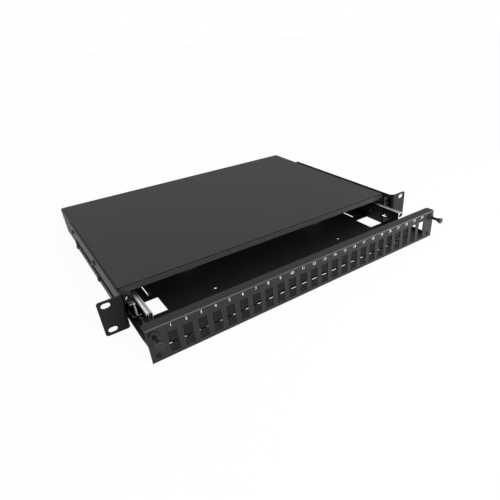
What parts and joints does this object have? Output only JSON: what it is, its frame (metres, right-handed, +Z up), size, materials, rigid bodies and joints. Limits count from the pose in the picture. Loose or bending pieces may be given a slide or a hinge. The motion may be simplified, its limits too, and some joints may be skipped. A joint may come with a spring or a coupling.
{
  "type": "sliding fibre patch drawer",
  "caption": "Rack-mount sliding fibre patch drawer: black steel case with side arms, numbered adapter cut-outs, push latches and ball-bearing slides",
  "frame": {"origin": "on the front face of the rack ears, on the centre line, level with the bottom edge of the ears", "axes": "+X to the right as seen from the front, +Y towards the rear of the rack, +Z up"},
  "size_m": [0.4826, 0.418, 0.044],
  "materials": {
    "case_paint": "fine satin black powder coat",
    "ear_paint": "satin black powder coat",
    "panel_paint": "satin black powder coat with white printed numbers",
    "tray_paint": "satin black powder coat",
    "slide_zinc": "bright zinc plated steel",
    "rivet_steel": "plated steel",
    "screw_black": "black oxide steel",
    "cage_plastic": "black moulded plastic",
    "ball_steel": "polished steel",
    "reel_plastic": "black moulded plastic",
    "latch_plastic": "black moulded plastic, slightly glossy"
  },
  "bodies": {
    "case": {"case_cover": "case_paint", "case_rear_panel": "case_paint", "case_rear_rivets": "rivet_steel", "rack_ear_left": "ear_paint", "rack_ear_right": "ear_paint", "rack_ear_screws": "screw_black", "slide_outer_left": "slide_zinc", "slide_outer_right": "slide_zinc", "slide_outer_rivets": "rivet_steel"},
    "drawer": {"drawer_tray": "tray_paint", "front_panel": "panel_paint", "front_panel_screws": "screw_black", "cable_entry_plate": "tray_paint", "cable_entry_screws": "screw_black", "fibre_reel_left": "reel_plastic", "fibre_reel_right": "reel_plastic", "fibre_reel_screws": "screw_black", "slide_inner_left": "slide_zinc", "slide_inner_right": "slide_zinc", "slide_inner_screws": "rivet_steel", "latch_grommet_left": "latch_plastic", "latch_grommet_right": "latch_plastic"},
    "middle_member_left": {"slide_middle_left": "slide_zinc"},
    "outer_cage_left": {"outer_ball_cage_left": "cage_plastic", "outer_balls_left": "ball_steel"},
    "inner_cage_left": {"inner_ball_cage_left": "cage_plastic", "inner_balls_left": "ball_steel"},
    "latch_left": {"latch_plunger_left": "latch_plastic"},
    "middle_member_right": {"slide_middle_right": "slide_zinc"},
    "outer_cage_right": {"outer_ball_cage_right": "cage_plastic", "outer_balls_right": "ball_steel"},
    "inner_cage_right": {"inner_ball_cage_right": "cage_plastic", "inner_balls_right": "ball_steel"},
    "latch_right": {"latch_plunger_right": "latch_plastic"}
  },
  "joints": [
    {"name": "drawer_slide", "type": "slide", "parent": "case", "child": "drawer", "axis": [0, -1, 0], "range_m": [-0.0615, 0.1985]},
    {"name": "middle_left_slide", "type": "slide", "parent": "case", "child": "middle_member_left", "axis": [0, -1, 0], "range_m": [-0.03075, 0.09925]},
    {"name": "outer_cage_left_roll", "type": "slide", "parent": "case", "child": "outer_cage_left", "axis": [0, -1, 0], "range_m": [-0.01537, 0.04963]},
    {"name": "inner_cage_left_roll", "type": "slide", "parent": "case", "child": "inner_cage_left", "axis": [0, -1, 0], "range_m": [-0.04612, 0.14888]},
    {"name": "latch_left_push", "type": "slide", "parent": "drawer", "child": "latch_left", "axis": [0, 1, 0], "range_m": [0, 0.008]},
    {"name": "middle_right_slide", "type": "slide", "parent": "case", "child": "middle_member_right", "axis": [0, -1, 0], "range_m": [-0.03075, 0.09925]},
    {"name": "outer_cage_right_roll", "type": "slide", "parent": "case", "child": "outer_cage_right", "axis": [0, -1, 0], "range_m": [-0.01537, 0.04963]},
    {"name": "inner_cage_right_roll", "type": "slide", "parent": "case", "child": "inner_cage_right", "axis": [0, -1, 0], "range_m": [-0.04612, 0.14888]},
    {"name": "latch_right_push", "type": "slide", "parent": "drawer", "child": "latch_right", "axis": [0, 1, 0], "range_m": [0, 0.008]}
  ],
  "couplings": [
    {"joint": "middle_left_slide", "follows": "drawer_slide", "ratio": 0.5},
    {"joint": "outer_cage_left_roll", "follows": "drawer_slide", "ratio": 0.25},
    {"joint": "inner_cage_left_roll", "follows": "drawer_slide", "ratio": 0.75},
    {"joint": "middle_right_slide", "follows": "drawer_slide", "ratio": 0.5},
    {"joint": "outer_cage_right_roll", "follows": "drawer_slide", "ratio": 0.25},
    {"joint": "inner_cage_right_roll", "follows": "drawer_slide", "ratio": 0.75}
  ]
}
